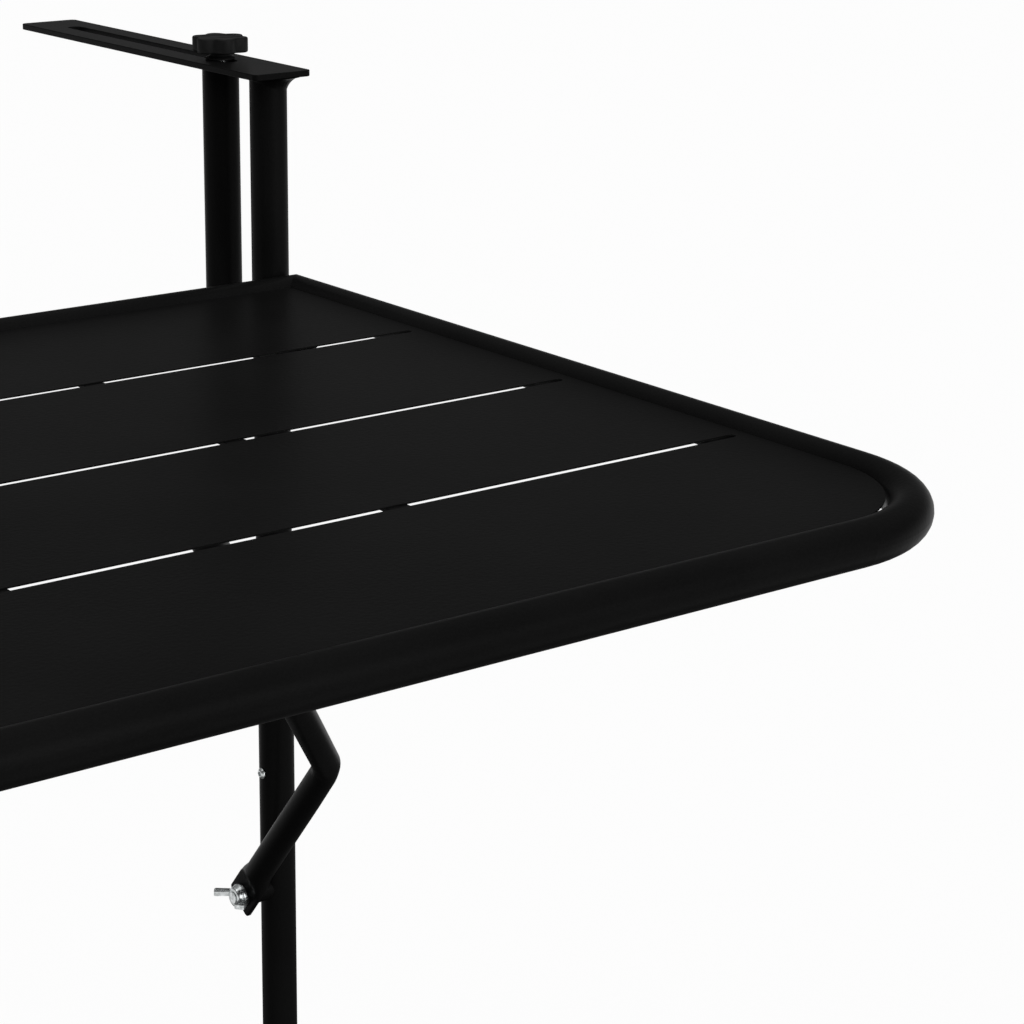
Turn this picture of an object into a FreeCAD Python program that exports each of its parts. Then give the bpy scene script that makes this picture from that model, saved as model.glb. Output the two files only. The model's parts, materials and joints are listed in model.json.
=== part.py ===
import FreeCAD, Part

import math
import os

import Sketcher
from FreeCAD import Placement, Rotation, Vector

# Balcony railing bar table.
# Two flat hook plates lie on the top of a railing. A round post hangs from each plate,
# a folding tabletop hinges on the posts, and one bent tube brace holds the tabletop up.
# Millimetres, X to the right, Y away from the sitter, Z up.
# The origin is where the railing's top meets the hook plates, midway between the two
# hooks and midway between each post and its rear leg.

# Driving dimensions
DIMENSIONS = {
    # Tabletop
    "table_width": 600.0,
    "table_depth": 400.0,
    "table_drop": 88.7,           # from the railing's top down to the rim tube's axis
    "rim_dia": 15.0,
    "rim_wall": 1.2,
    "rim_bend": 53.0,             # bend radius of the two front corners, on the axis
    "mitre_margin": 2.0,          # how far the mitre's cut reaches past the tube
    "panel_thickness": 0.6,
    "panel_rise": 4.2,            # top of the sheet above the rim tube's axis
    "panel_front_corner": 52.0,
    "panel_back_corner": 3.0,
    "slot_width": 3.25,
    "slot_corner": 1.5,
    "slot_first": 109.4,          # from the front face to the first slot
    "slot_pitch": 92.85,
    "slot_margin": 18.8,          # from the side face to the slots' ends
    "slot_count": 3,
    "strip_width": 8.0,
    "strip_centre_width": 16.0,
    "strip_thickness": 1.5,
    "strip_offset": 142.3,
    # Posts
    "post_dia": 15.5,
    "post_wall": 1.2,
    "post_inset": 9.3,            # from the tabletop's side face to the post's axis
    "post_gap": 0.5,              # between the rim and the post
    "post_reach": 822.0,          # from the railing's top down to the foot
    "rail_gap": 20.8,             # between post and rear leg, for the railing
    "sleeve_wall": 1.5,
    "sleeve_up": 45.0,
    "sleeve_down": 232.0,
    "sleeve_screw_drop": 217.2,   # below the rim tube's axis
    "sleeve_screw_dia": 3.5,
    "sleeve_head_dia": 5.0,
    "sleeve_head_height": 1.6,
    "sleeve_screw_tip": 1.0,      # shank beyond the sleeve's inner wall
    # Hook plates
    "hook_width": 27.8,
    "hook_thickness": 2.6,
    "hook_length": 196.0,
    "hook_front": 11.7,           # from the post's axis to the plate's front end
    "hook_corner": 2.5,
    "hook_slot_width": 6.6,
    "hook_slot_corner": 3.0,
    "leg_travel_in": 7.0,
    "leg_travel_out": 122.0,
    "weld_height": 4.2,
    "weld_reach": 4.8,
    "weld_hollow": 6.0,           # radius of the weld's hollow face
    # Rear legs and star knobs
    "leg_length": 114.0,
    "insert_length": 14.0,
    "insert_depth": 0.5,
    "cap_height": 3.0,
    "cap_plug": 12.0,
    "cap_round": 1.0,
    "knob_core_dia": 17.6,
    "knob_height": 6.3,
    "knob_angle": -17.0,          # degrees, how far each knob is turned at rest
    "knob_lobes": 6,
    "lobe_dia": 7.6,
    "lobe_circle": 16.2,
    "neck_dia": 9.0,
    "neck_height": 3.1,
    "stud_dia": 6.0,
    "stud_in_knob": 5.0,
    "stud_length": 24.0,
    # Hinges
    "hinge_drop": 18.0,           # pivot below the rim tube's axis
    "hinge_bolt_dia": 6.0,
    "bracket_gap": 16.2,
    "bracket_sheet": 2.0,
    "bracket_nose": 7.0,
    "bracket_web_front": 6.3,     # front face of the web, behind the pivot
    "bracket_tail": 14.0,         # how far the web reaches below the pivot
    "bracket_seat": 1.0,          # depth of the bracket's saddle round the post
    "lug_side_gap": 0.2,
    "lug_round": 6.0,
    "lug_sheet": 2.0,
    "lug_window": 7.5,            # height of the open middle above the pivot
    "button_dia": 10.5,
    "button_height": 3.3,
    "nut_across": 10.0,
    "nut_height": 5.0,
    "bolt_tip": 1.5,
    # Brace
    "brace_dia": 12.3,
    "brace_wall": 1.2,
    "brace_bolt_drop": 272.0,     # lower pivot below the rim tube's axis
    "brace_offset": 17.8,         # from the post's axis inwards to the brace's plane
    "brace_lean": 38.95,          # degrees, forward from straight up
    "brace_leg": 105.7,           # from the lower pivot to the first bend's corner
    "brace_turn": 33.8,           # degrees, at the first bend
    "brace_bend_low": 20.0,
    "brace_bend_high": 30.0,
    "paddle_width": 16.8,
    "paddle_thickness": 2.4,
    "paddle_end": 5.4,            # from the lower pivot to the square-cut end
    "paddle_corner": 1.0,
    "paddle_margin": 2.7,         # flat beyond the spacer's edge, towards the tube
    "paddle_neck": 20.0,          # from the pivot to where the tube is round
    "brace_bolt_dia": 5.0,
    "bolt_head_dia": 8.0,         # flat head inside the post
    "bolt_head_height": 1.5,
    "spacer_dia": 10.6,
    "washer_dia": 10.0,
    "washer_thickness": 0.8,
    "seat_offset": 70.0,
    "seat_width": 24.0,
    "seat_sheet": 1.5,
    "seat_front": 8.0,            # from the cross bar's axis to the front lip
    "seat_back": 8.0,
    "seat_front_lip": 2.0,
    "seat_back_lip": 9.0,
    # Wing nuts and their bolts
    "wing_base_dia": 10.6,
    "wing_top_dia": 8.0,
    "wing_body_height": 3.6,
    "wing_spread": 52.0,          # degrees, between each wing's length and the nut's seat
    "wing_length": 6.5,
    "wing_width": 4.5,
    "wing_root": 6.0,             # radius where each wing's middle line starts
    "wing_foot": 2.1,             # height where each wing's middle line starts
    "wing_thickness": 2.0,
    "wing_wall": 0.5,             # between the bore and the inner end of each wing
    "wing_turn": 0.0,             # degrees, the back wing above level
    "wing_bolt_tip": 0.4,         # bolt beyond the nut's body
    # Clearances
    "running_fit": 0.05,          # radial, a pin or bolt in its hole
    "sleeve_fit": 0.05,           # radial, a plug or sleeve in its tube
    "face_gap": 0.1,              # between faces that slide on each other
}

TURN = 360.0
HEX_SIDES = 6
RIGHT = 1
LEFT = -1
SIDE_NAMES = {RIGHT: "right", LEFT: "left"}


# A size knows its number and the expression that ties it to the sheet
class Size:
    def __init__(self, text, value):
        self.text = text
        self.value = value

    def __add__(self, other):
        other = as_size(other)
        return Size(f"({self.text} + {other.text})", self.value + other.value)

    def __sub__(self, other):
        other = as_size(other)
        return Size(f"({self.text} - {other.text})", self.value - other.value)

    def __mul__(self, other):
        other = as_size(other)
        return Size(f"({self.text} * {other.text})", self.value * other.value)

    def __truediv__(self, other):
        other = as_size(other)
        return Size(f"({self.text} / {other.text})", self.value / other.value)

    def __neg__(self):
        return Size(f"(0 - {self.text})", -self.value)

    def __radd__(self, other):
        return as_size(other) + self

    def __rsub__(self, other):
        return as_size(other) - self

    def __rmul__(self, other):
        return as_size(other) * self


def as_size(number):
    return number if isinstance(number, Size) else Size(repr(float(number)), float(number))


def root(size):
    return Size(f"sqrt({size.text})", math.sqrt(size.value))


def sine(size):
    return Size(f"sin({size.text})", math.sin(math.radians(size.value)))


def cosine(size):
    return Size(f"cos({size.text})", math.cos(math.radians(size.value)))


def tangent(size):
    return Size(f"tan({size.text})", math.tan(math.radians(size.value)))


doc = FreeCAD.newDocument("BalconyTable")
sheet = doc.addObject("Spreadsheet::Sheet", "Sizes")
sizes = {}
for row, (name, number) in enumerate(DIMENSIONS.items(), start=1):
    sheet.set(f"A{row}", name)
    sheet.set(f"B{row}", str(number))
    sheet.setAlias(f"B{row}", name)
    sizes[name] = Size(f"Sizes.{name}", float(number))
doc.recompute()


class Sizes:
    # Lets the text below read as S.table_width
    def __getattr__(self, name):
        return sizes[name]


S = Sizes()

# Places worked out from the driving dimensions
rim_r = S.rim_dia / 2
post_r = S.post_dia / 2
brace_r = S.brace_dia / 2
side_x = S.table_width / 2 - rim_r
post_x = S.table_width / 2 - S.post_inset
post_y = -(S.rail_gap / 2 + post_r)
leg_y = S.rail_gap / 2 + post_r
back_face_y = post_y - post_r - S.post_gap
back_y = back_face_y - rim_r
front_face_y = back_face_y - S.table_depth
front_y = front_face_y + rim_r
rim_z = -S.table_drop
panel_z = rim_z + S.panel_rise - S.panel_thickness
pivot_z = rim_z - S.hinge_drop
brace_bolt_z = rim_z - S.brace_bolt_drop
bracket_half = S.bracket_gap / 2 + S.bracket_sheet
seat_z = panel_z - S.seat_sheet
cross_z = seat_z - S.face_gap - brace_r
cross_rise = (cross_z - brace_bolt_z) / cosine(S.brace_lean)
cross_y = post_y - (cross_z - brace_bolt_z) * tangent(S.brace_lean)
paddle_x = post_x - S.brace_offset
paddle_flat = S.spacer_dia / 2 + S.paddle_margin
washer_seat = S.brace_offset + S.paddle_thickness / 2 + S.face_gap
wing_seat = washer_seat + S.washer_thickness + S.face_gap
sleeve_r = post_r - S.post_wall - S.sleeve_fit
hook_top = S.hook_thickness

ALONG_X = Vector(1, 0, 0)
ALONG_Z = Vector(0, 0, 1)

sub_parts = []


def place(item, x=0.0, y=0.0, z=0.0):
    x, y, z = as_size(x), as_size(y), as_size(z)
    item.Placement = Placement(Vector(x.value, y.value, z.value), Rotation())
    for axis, size in (("x", x), ("y", y), ("z", z)):
        item.setExpression(f"Placement.Base.{axis}", size.text)


def turn_to(item, axis, angle):
    # Turns a placed item about its own origin, by degrees
    item.Placement = Placement(item.Placement.Base, Rotation(axis, angle.value))
    item.setExpression("Placement.Rotation.Angle", f"{angle.text} * 1 deg")


def new_body(label, x=0.0, y=0.0, z=0.0):
    body = doc.addObject("PartDesign::Body", label)
    body.Label = label
    place(body, x, y, z)
    sub_parts.append(body)
    return body


def origin_plane(body, role):
    for feature in body.Origin.OriginFeatures:
        if feature.Role == role:
            return feature
    raise ValueError(role)


def new_sketch(body, role, name, offset=0.0):
    offset = as_size(offset)
    sketch = body.newObject("Sketcher::SketchObject", f"{body.Name}_{name}")
    sketch.AttachmentSupport = [(origin_plane(body, role), "")]
    sketch.MapMode = "FlatFace"
    sketch.AttachmentOffset = Placement(Vector(0, 0, offset.value), Rotation())
    sketch.setExpression("AttachmentOffset.Base.z", offset.text)
    return sketch


def pin_point(sketch, geometry, end, x, y):
    # Ties one end of a line or arc, or a centre, to a place in the sketch
    for kind, size in (("DistanceX", x), ("DistanceY", y)):
        index = sketch.addConstraint(Sketcher.Constraint(kind, -1, 1, geometry, end, size.value))
        sketch.setExpression(f"Constraints[{index}]", size.text)


def bind_radius(sketch, geometry, radius):
    index = sketch.addConstraint(Sketcher.Constraint("Radius", geometry, radius.value))
    sketch.setExpression(f"Constraints[{index}]", radius.text)


def arc_between(start, finish, radius, leftwards):
    # The short arc from start to finish; it turns left where leftwards is true
    chord = finish - start
    half = chord.Length / 2
    rise = math.sqrt(max(radius ** 2 - half ** 2, 0.0))
    normal = Vector(-chord.y, chord.x, 0).normalize()
    centre = start + chord / 2 + normal * (rise if leftwards else -rise)
    first, last = (start, finish) if leftwards else (finish, start)
    angles = [math.atan2(p.y - centre.y, p.x - centre.x) for p in (first, last)]
    if angles[1] < angles[0]:
        angles[1] += 2 * math.pi
    circle = Part.Circle(centre, Vector(0, 0, 1), radius)
    return Part.ArcOfCircle(circle, angles[0], angles[1])


def trace(sketch, points, closed=True):
    # Each point is (x, y) or (x, y, radius): with a radius the edge that ends there is an
    # arc, which turns left where the radius is positive and right where it is negative
    points = [tuple(as_size(value) for value in point) for point in points]
    count = len(points)
    edges = []
    for index in range(count if closed else count - 1):
        start, finish = points[index], points[(index + 1) % count]
        a = Vector(start[0].value, start[1].value, 0)
        b = Vector(finish[0].value, finish[1].value, 0)
        if len(finish) == 2:
            edges.append((sketch.addGeometry(Part.LineSegment(a, b)), 1, 2))
            continue
        leftwards = finish[2].value > 0
        geometry = sketch.addGeometry(arc_between(a, b, abs(finish[2].value), leftwards))
        bind_radius(sketch, geometry, finish[2] if leftwards else -finish[2])
        edges.append((geometry, 1, 2) if leftwards else (geometry, 2, 1))
    for index, (geometry, begin, end) in enumerate(edges):
        finish = points[(index + 1) % count]
        pin_point(sketch, geometry, end, finish[0], finish[1])
        if index + 1 < len(edges) or closed:
            following = edges[(index + 1) % len(edges)]
            sketch.addConstraint(
                Sketcher.Constraint("Coincident", geometry, end, following[0], following[1]))
    if not closed:
        geometry, begin, end = edges[0]
        pin_point(sketch, geometry, begin, points[0][0], points[0][1])
    return sketch


def circle(sketch, radius, x=0.0, y=0.0):
    x, y, radius = as_size(x), as_size(y), as_size(radius)
    geometry = sketch.addGeometry(
        Part.Circle(Vector(x.value, y.value, 0), Vector(0, 0, 1), radius.value))
    bind_radius(sketch, geometry, radius)
    pin_point(sketch, geometry, 3, x, y)
    return sketch


def box_points(x_low, x_high, y_low, y_high):
    return [(x_low, y_low), (x_high, y_low), (x_high, y_high), (x_low, y_high)]


def rounded_points(x_low, x_high, y_low, y_high, low_radius, high_radius=None):
    # A rectangle whose corners are rounded, the low pair and the high pair each alike
    low = low_radius
    high = low_radius if high_radius is None else high_radius
    return [
        (x_low, y_low + low),
        (x_low + low, y_low, low),
        (x_high - low, y_low),
        (x_high, y_low + low, low),
        (x_high, y_high - high),
        (x_high - high, y_high, high),
        (x_low + high, y_high),
        (x_low, y_high - high, high),
    ]


def hexagon(across):
    # Corner radius from the distance across the flats
    radius = as_size(across) / root(as_size(HEX_SIDES / 2))
    points = []
    for corner in range(HEX_SIDES):
        angle = math.radians(TURN / HEX_SIDES * corner)
        points.append((radius * math.cos(angle), radius * math.sin(angle)))
    return points


def pad(body, sketch, length, symmetric=False, reverse=False):
    feature = body.newObject("PartDesign::Pad", f"{sketch.Name}_pad")
    feature.Profile = sketch
    feature.Type = "Length"
    feature.SideType = "Symmetric" if symmetric else "One side"
    feature.Reversed = reverse
    length = as_size(length)
    feature.Length = length.value
    feature.setExpression("Length", length.text)
    sketch.Visibility = False
    return feature


def pocket(body, sketch, length, symmetric=True, reverse=False):
    feature = body.newObject("PartDesign::Pocket", f"{sketch.Name}_cut")
    feature.Profile = sketch
    feature.Type = "Length"
    feature.SideType = "Symmetric" if symmetric else "One side"
    feature.Reversed = reverse
    length = as_size(length)
    feature.Length = length.value
    feature.setExpression("Length", length.text)
    sketch.Visibility = False
    return feature


def revolve(body, sketch, axis):
    feature = body.newObject("PartDesign::Revolution", f"{sketch.Name}_turn")
    feature.Profile = sketch
    feature.ReferenceAxis = (sketch, [axis])
    feature.Angle = TURN
    sketch.Visibility = False
    return feature


def sweep(body, profile, path):
    feature = body.newObject("PartDesign::AdditivePipe", f"{path.Name}_sweep")
    feature.Profile = profile
    feature.Spine = path
    feature.Mode = "Standard"
    profile.Visibility = False
    path.Visibility = False
    return feature


def loft(body, first, last):
    feature = body.newObject("PartDesign::AdditiveLoft", f"{first.Name}_loft")
    feature.Profile = first
    feature.Sections = [last]
    feature.Ruled = False
    return feature


def mirror_in_body(body, features):
    feature = body.newObject("PartDesign::Mirrored", f"{body.Name}_mirror")
    feature.Originals = features
    feature.MirrorPlane = (origin_plane(body, "YZ_Plane"), [""])
    body.Tip = feature
    return feature


def polar_in_body(body, features, count, role):
    feature = body.newObject("PartDesign::PolarPattern", f"{body.Name}_polar")
    feature.Originals = features
    feature.Axis = (origin_plane(body, role), [""])
    feature.Angle = TURN
    feature.Occurrences = int(count)
    body.Tip = feature
    return feature


def tube_along_z(label, x, y, z, outer, inner, length):
    body = new_body(label, x, y, z)
    ring = new_sketch(body, "XY_Plane", "ring")
    circle(ring, outer)
    circle(ring, inner)
    pad(body, ring, length)
    return body


def through_hole_x(body, name, radius, y, z, width):
    hole = new_sketch(body, "YZ_Plane", name)
    circle(hole, radius, y, z)
    return pocket(body, hole, width)


# Tabletop rim: one tube bent round the front, mitred at the back corners, and a back tube
def mitre_reach():
    return rim_r + S.mitre_margin


def make_rim_tube():
    body = new_body("rim_front_tube", z=rim_z)
    bend = S.rim_bend
    path = new_sketch(body, "XY_Plane", "path")
    trace(path, [
        (side_x, back_face_y),
        (side_x, front_y + bend),
        (side_x - bend, front_y, -bend),
        (-side_x + bend, front_y),
        (-side_x, front_y + bend, -bend),
        (-side_x, back_face_y),
    ], closed=False)
    ring = new_sketch(body, "XZ_Plane", "ring", offset=-back_face_y)
    circle(ring, rim_r, side_x)
    circle(ring, rim_r - S.rim_wall, side_x)
    sweep(body, ring, path)
    reach = mitre_reach()
    for side in (RIGHT, LEFT):
        mitre = new_sketch(body, "XY_Plane", f"mitre_{SIDE_NAMES[side]}")
        trace(mitre, [
            (side * (side_x - reach), back_y - reach),
            (side * (side_x + reach), back_y + reach),
            (side * (side_x - reach), back_y + reach),
        ])
        pocket(body, mitre, 2 * reach)
    return body


def make_back_tube():
    body = new_body("rim_back_tube", y=back_y, z=rim_z)
    ring = new_sketch(body, "YZ_Plane", "ring")
    circle(ring, rim_r)
    circle(ring, rim_r - S.rim_wall)
    pad(body, ring, S.table_width, symmetric=True)
    reach = mitre_reach()
    for side in (RIGHT, LEFT):
        mitre = new_sketch(body, "XY_Plane", f"mitre_{SIDE_NAMES[side]}")
        trace(mitre, [
            (side * (side_x - reach), -reach),
            (side * (side_x + reach), reach),
            (side * (side_x + reach), -reach),
        ])
        pocket(body, mitre, 2 * reach)
    return body


# Thin slotted sheet that lies inside the rim, its edge against the tubes
def rim_contact(height):
    # Distance from a rim tube's axis to its surface at a height above the axis
    return root(rim_r * rim_r - height * height)


def make_panel():
    body = new_body("slatted_panel", z=panel_z)
    edge = rim_contact(S.panel_rise - S.panel_thickness)
    outline = new_sketch(body, "XY_Plane", "outline")
    trace(outline, rounded_points(
        -(side_x - edge), side_x - edge, front_y + edge, back_y - edge,
        S.panel_front_corner, S.panel_back_corner))
    sheet_pad = pad(body, outline, S.panel_thickness)
    half = S.table_width / 2 - S.slot_margin
    first = front_face_y + S.slot_first
    slot = new_sketch(body, "XY_Plane", "slot")
    trace(slot, rounded_points(
        -half, half, first - S.slot_width / 2, first + S.slot_width / 2, S.slot_corner))
    slot_cut = pocket(body, slot, 2 * S.panel_thickness)
    pattern = body.newObject("PartDesign::LinearPattern", "slot_row")
    pattern.Originals = [slot_cut]
    pattern.Direction = (slot, ["V_Axis"])
    pattern.Occurrences = int(DIMENSIONS["slot_count"])
    length = S.slot_pitch * (S.slot_count - 1)
    pattern.Length = length.value
    pattern.setExpression("Length", length.text)
    body.Tip = pattern
    doc.recompute()
    if pattern.Shape.Volume >= sheet_pad.Shape.Volume:
        raise ValueError("the slots cut nothing")
    return body


# Flat strips under the sheet, from the front tube to the back tube
def make_strip(label, x, width):
    height = S.panel_rise - S.panel_thickness - S.strip_thickness
    edge = rim_contact(height)
    body = new_body(label, x, 0.0, panel_z - S.strip_thickness)
    outline = new_sketch(body, "XY_Plane", "outline")
    trace(outline, box_points(-width / 2, width / 2, front_y + edge, back_y - edge))
    pad(body, outline, S.strip_thickness)
    return body


# Shallow saddle under the sheet in which the brace's cross bar sits
def make_seat(side):
    body = new_body(f"{SIDE_NAMES[side]}_brace_seat", side * S.seat_offset, cross_y, seat_z)
    sheet_t = S.seat_sheet
    front, back = -S.seat_front, S.seat_back
    outline = new_sketch(body, "YZ_Plane", "outline")
    trace(outline, [
        (front - sheet_t, -S.seat_front_lip),
        (front, -S.seat_front_lip),
        (front, 0),
        (back, 0),
        (back, -S.seat_back_lip),
        (back + sheet_t, -S.seat_back_lip),
        (back + sheet_t, sheet_t),
        (front - sheet_t, sheet_t),
    ])
    pad(body, outline, S.seat_width, symmetric=True)
    return body


# Posts: an upper and a lower tube that meet behind the rim, on a sleeve
def make_upper_post(side):
    label = f"{SIDE_NAMES[side]}_upper_post"
    return tube_along_z(
        label, side * post_x, post_y, rim_z, post_r, post_r - S.post_wall, S.table_drop)


def make_lower_post(side):
    length = S.post_reach - S.cap_height - S.table_drop
    body = tube_along_z(
        f"{SIDE_NAMES[side]}_lower_post", side * post_x, post_y, rim_z - length,
        post_r, post_r - S.post_wall, length)
    bolt = new_sketch(body, "YZ_Plane", "bolt")
    circle(bolt, S.brace_bolt_dia / 2, 0.0, length - S.brace_bolt_drop)
    pocket(body, bolt, S.post_dia, symmetric=False, reverse=side == LEFT)
    screw = new_sketch(body, "YZ_Plane", "screw")
    circle(screw, S.sleeve_screw_dia / 2 + S.running_fit, 0.0, length - S.sleeve_screw_drop)
    pocket(body, screw, S.post_dia, symmetric=False, reverse=side == LEFT)
    return body


def make_sleeve(side):
    length = S.sleeve_up + S.sleeve_down
    body = tube_along_z(
        f"{SIDE_NAMES[side]}_post_sleeve", side * post_x, post_y, rim_z - S.sleeve_down,
        sleeve_r, sleeve_r - S.sleeve_wall, length)
    screw = new_sketch(body, "YZ_Plane", "screw")
    circle(screw, S.sleeve_screw_dia / 2 + S.running_fit, 0.0,
           S.sleeve_down - S.sleeve_screw_drop)
    pocket(body, screw, S.post_dia, symmetric=False, reverse=side == LEFT)
    return body


def dome_radius(half_width, height):
    return (half_width * half_width + height * height) / (2 * height)


def make_sleeve_screw(side):
    # A domed head on the post's inner face, its shank through post and sleeve
    body = new_body(f"{SIDE_NAMES[side]}_sleeve_screw", side * post_x, post_y,
                    rim_z - S.sleeve_screw_drop)
    shank = S.sleeve_screw_dia / 2
    head = S.sleeve_head_dia / 2
    brim = S.sleeve_head_height / 4
    inner = sleeve_r - S.sleeve_wall - S.sleeve_screw_tip
    profile = new_sketch(body, "XZ_Plane", "profile")
    trace(profile, [
        (-side * inner, 0),
        (-side * inner, shank),
        (-side * post_r, shank),
        (-side * post_r, head),
        (-side * (post_r + brim), head),
        (-side * (post_r + S.sleeve_head_height), 0,
         side * dome_radius(head, S.sleeve_head_height - brim)),
    ])
    revolve(body, profile, "H_Axis")
    return body


def make_cap(label, x, y, z):
    # Plastic end cap: a disc under the tube and a plug inside it
    body = new_body(label, x, y, z)
    plug = post_r - S.post_wall - S.sleeve_fit
    corner = S.cap_round
    profile = new_sketch(body, "XZ_Plane", "profile")
    trace(profile, [
        (0, -S.cap_height),
        (post_r - corner, -S.cap_height),
        (post_r, -S.cap_height + corner, corner),
        (post_r, 0),
        (plug, 0),
        (plug, S.cap_plug),
        (0, S.cap_plug),
    ])
    revolve(body, profile, "V_Axis")
    return body


# Hook plate on top of a post, slotted for the rear leg's stud
def make_hook_plate(side):
    body = new_body(f"{SIDE_NAMES[side]}_hook_plate", side * post_x)
    half = S.hook_width / 2
    front = post_y - S.hook_front
    outline = new_sketch(body, "XY_Plane", "outline")
    trace(outline, rounded_points(-half, half, front, front + S.hook_length, S.hook_corner))
    pad(body, outline, S.hook_thickness)
    slot_half = S.hook_slot_width / 2
    slot = new_sketch(body, "XY_Plane", "slot")
    trace(slot, rounded_points(
        -slot_half, slot_half, leg_y - S.leg_travel_in - slot_half,
        leg_y + S.leg_travel_out + slot_half, S.hook_slot_corner))
    pocket(body, slot, 3 * S.hook_thickness)
    return body


def make_hook_weld(side):
    # Hollow fillet of weld between the post's top and the plate
    body = new_body(f"{SIDE_NAMES[side]}_hook_weld", side * post_x, post_y)
    profile = new_sketch(body, "XZ_Plane", "profile")
    trace(profile, [
        (post_r, 0),
        (post_r, -S.weld_height),
        (post_r + S.weld_reach, 0, -S.weld_hollow),
    ])
    revolve(body, profile, "V_Axis")
    return body


# Rear leg, clamped behind the railing by a star knob on top of the plate
def make_rear_leg(side):
    return tube_along_z(
        f"{SIDE_NAMES[side]}_rear_leg", side * post_x, leg_y, -S.face_gap - S.leg_length,
        post_r, post_r - S.post_wall, S.leg_length)


def make_leg_insert(side):
    bottom = -S.face_gap - S.insert_depth - S.insert_length
    return tube_along_z(
        f"{SIDE_NAMES[side]}_leg_insert", side * post_x, leg_y, bottom,
        sleeve_r, S.stud_dia / 2 + S.running_fit, S.insert_length)


def make_star_knob(side):
    body = new_body(f"{SIDE_NAMES[side]}_star_knob", side * post_x, leg_y,
                    hook_top + S.face_gap)
    turn_to(body, ALONG_Z, side * S.knob_angle)
    neck = new_sketch(body, "XY_Plane", "neck")
    circle(neck, S.neck_dia / 2)
    pad(body, neck, S.neck_height + S.knob_height)
    core = new_sketch(body, "XY_Plane", "core", offset=S.neck_height)
    circle(core, S.knob_core_dia / 2)
    pad(body, core, S.knob_height)
    lobe = new_sketch(body, "XY_Plane", "lobe", offset=S.neck_height)
    circle(lobe, S.lobe_dia / 2, S.lobe_circle / 2)
    lobe_pad = pad(body, lobe, S.knob_height)
    polar_in_body(body, [lobe_pad], DIMENSIONS["knob_lobes"], "Z_Axis")
    bore = new_sketch(body, "XY_Plane", "bore")
    circle(bore, S.stud_dia / 2)
    pocket(body, bore, S.stud_in_knob, symmetric=False, reverse=True)
    return body


def make_knob_stud(side):
    body = new_body(f"{SIDE_NAMES[side]}_knob_stud", side * post_x, leg_y,
                    hook_top + S.face_gap + S.stud_in_knob)
    shank = new_sketch(body, "XY_Plane", "shank")
    circle(shank, S.stud_dia / 2)
    pad(body, shank, S.stud_length, reverse=True)
    return body


# Hinges: a folded bracket on each post, a lug under the rim, a bolt and a nut
def make_hinge_bracket(side):
    body = new_body(f"{SIDE_NAMES[side]}_hinge_bracket", side * post_x, back_y, pivot_z)
    nose = S.bracket_nose
    post_front = post_y - post_r - back_y
    tail = post_front + S.bracket_seat
    outline = new_sketch(body, "YZ_Plane", "outline")
    trace(outline, [
        (tail, nose),
        (0, nose),
        (-nose, 0, nose),
        (0, -nose, nose),
        (tail, -S.bracket_tail),
    ])
    pad(body, outline, 2 * bracket_half, symmetric=True)
    gap = new_sketch(body, "XY_Plane", "gap")
    half = S.bracket_gap / 2
    trace(gap, box_points(-half, half, -2 * nose, S.bracket_web_front))
    pocket(body, gap, 4 * S.bracket_tail)
    saddle = new_sketch(body, "XY_Plane", "saddle")
    circle(saddle, post_r, 0.0, post_y - back_y)
    pocket(body, saddle, 4 * S.bracket_tail)
    through_hole_x(body, "pivot", S.hinge_bolt_dia / 2 + S.running_fit, 0.0, 0.0,
                   4 * bracket_half)
    return body


def make_hinge_lug(side):
    body = new_body(f"{SIDE_NAMES[side]}_hinge_lug", side * post_x, back_y, pivot_z)
    width = S.bracket_gap - 2 * S.lug_side_gap
    nose = S.lug_round
    outline = new_sketch(body, "YZ_Plane", "outline")
    trace(outline, [
        (nose, S.hinge_drop - rim_r / 2),
        (-nose, S.hinge_drop - rim_r / 2),
        (-nose, 0),
        (0, -nose, nose),
        (nose, 0, nose),
    ])
    pad(body, outline, width, symmetric=True)
    window = new_sketch(body, "XZ_Plane", "window")
    half = width / 2 - S.lug_sheet
    trace(window, box_points(-half, half, -2 * nose, S.lug_window))
    pocket(body, window, 4 * nose)
    through_hole_x(body, "back_tube", rim_r, 0.0, S.hinge_drop, 2 * width)
    side_tube = new_sketch(body, "XZ_Plane", "side_tube")
    circle(side_tube, rim_r, side * (side_x - post_x), S.hinge_drop)
    pocket(body, side_tube, 4 * nose)
    through_hole_x(body, "pivot", S.hinge_bolt_dia / 2 + S.running_fit, 0.0, 0.0, 2 * width)
    return body


def make_hinge_bolt(side):
    # Button head on the outer side, threaded end through the nut on the inner side
    body = new_body(f"{SIDE_NAMES[side]}_hinge_bolt", side * post_x, back_y, pivot_z)
    shank = S.hinge_bolt_dia / 2
    head = S.button_dia / 2
    tip = bracket_half + S.nut_height + S.bolt_tip
    brim = S.button_height / 3
    profile = new_sketch(body, "XZ_Plane", "profile")
    trace(profile, [
        (-side * tip, 0),
        (-side * tip, shank),
        (side * bracket_half, shank),
        (side * bracket_half, head),
        (side * (bracket_half + brim), head),
        (side * (bracket_half + S.button_height), 0,
         -side * dome_radius(head, S.button_height - brim)),
    ])
    revolve(body, profile, "H_Axis")
    return body


def make_nut(label, x, y, z, side, across, height, bore):
    # A hexagon nut whose seat is at x and which grows towards the middle of the table
    body = new_body(label, x, y, z)
    outline = new_sketch(body, "YZ_Plane", "outline")
    trace(outline, hexagon(across))
    circle(outline, bore)
    pad(body, outline, height, reverse=side == RIGHT)
    return body


def make_hinge_nut(side):
    return make_nut(
        f"{SIDE_NAMES[side]}_hinge_nut", side * (post_x - bracket_half), back_y, pivot_z, side,
        S.nut_across, S.nut_height, S.hinge_bolt_dia / 2 + S.running_fit)


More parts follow.
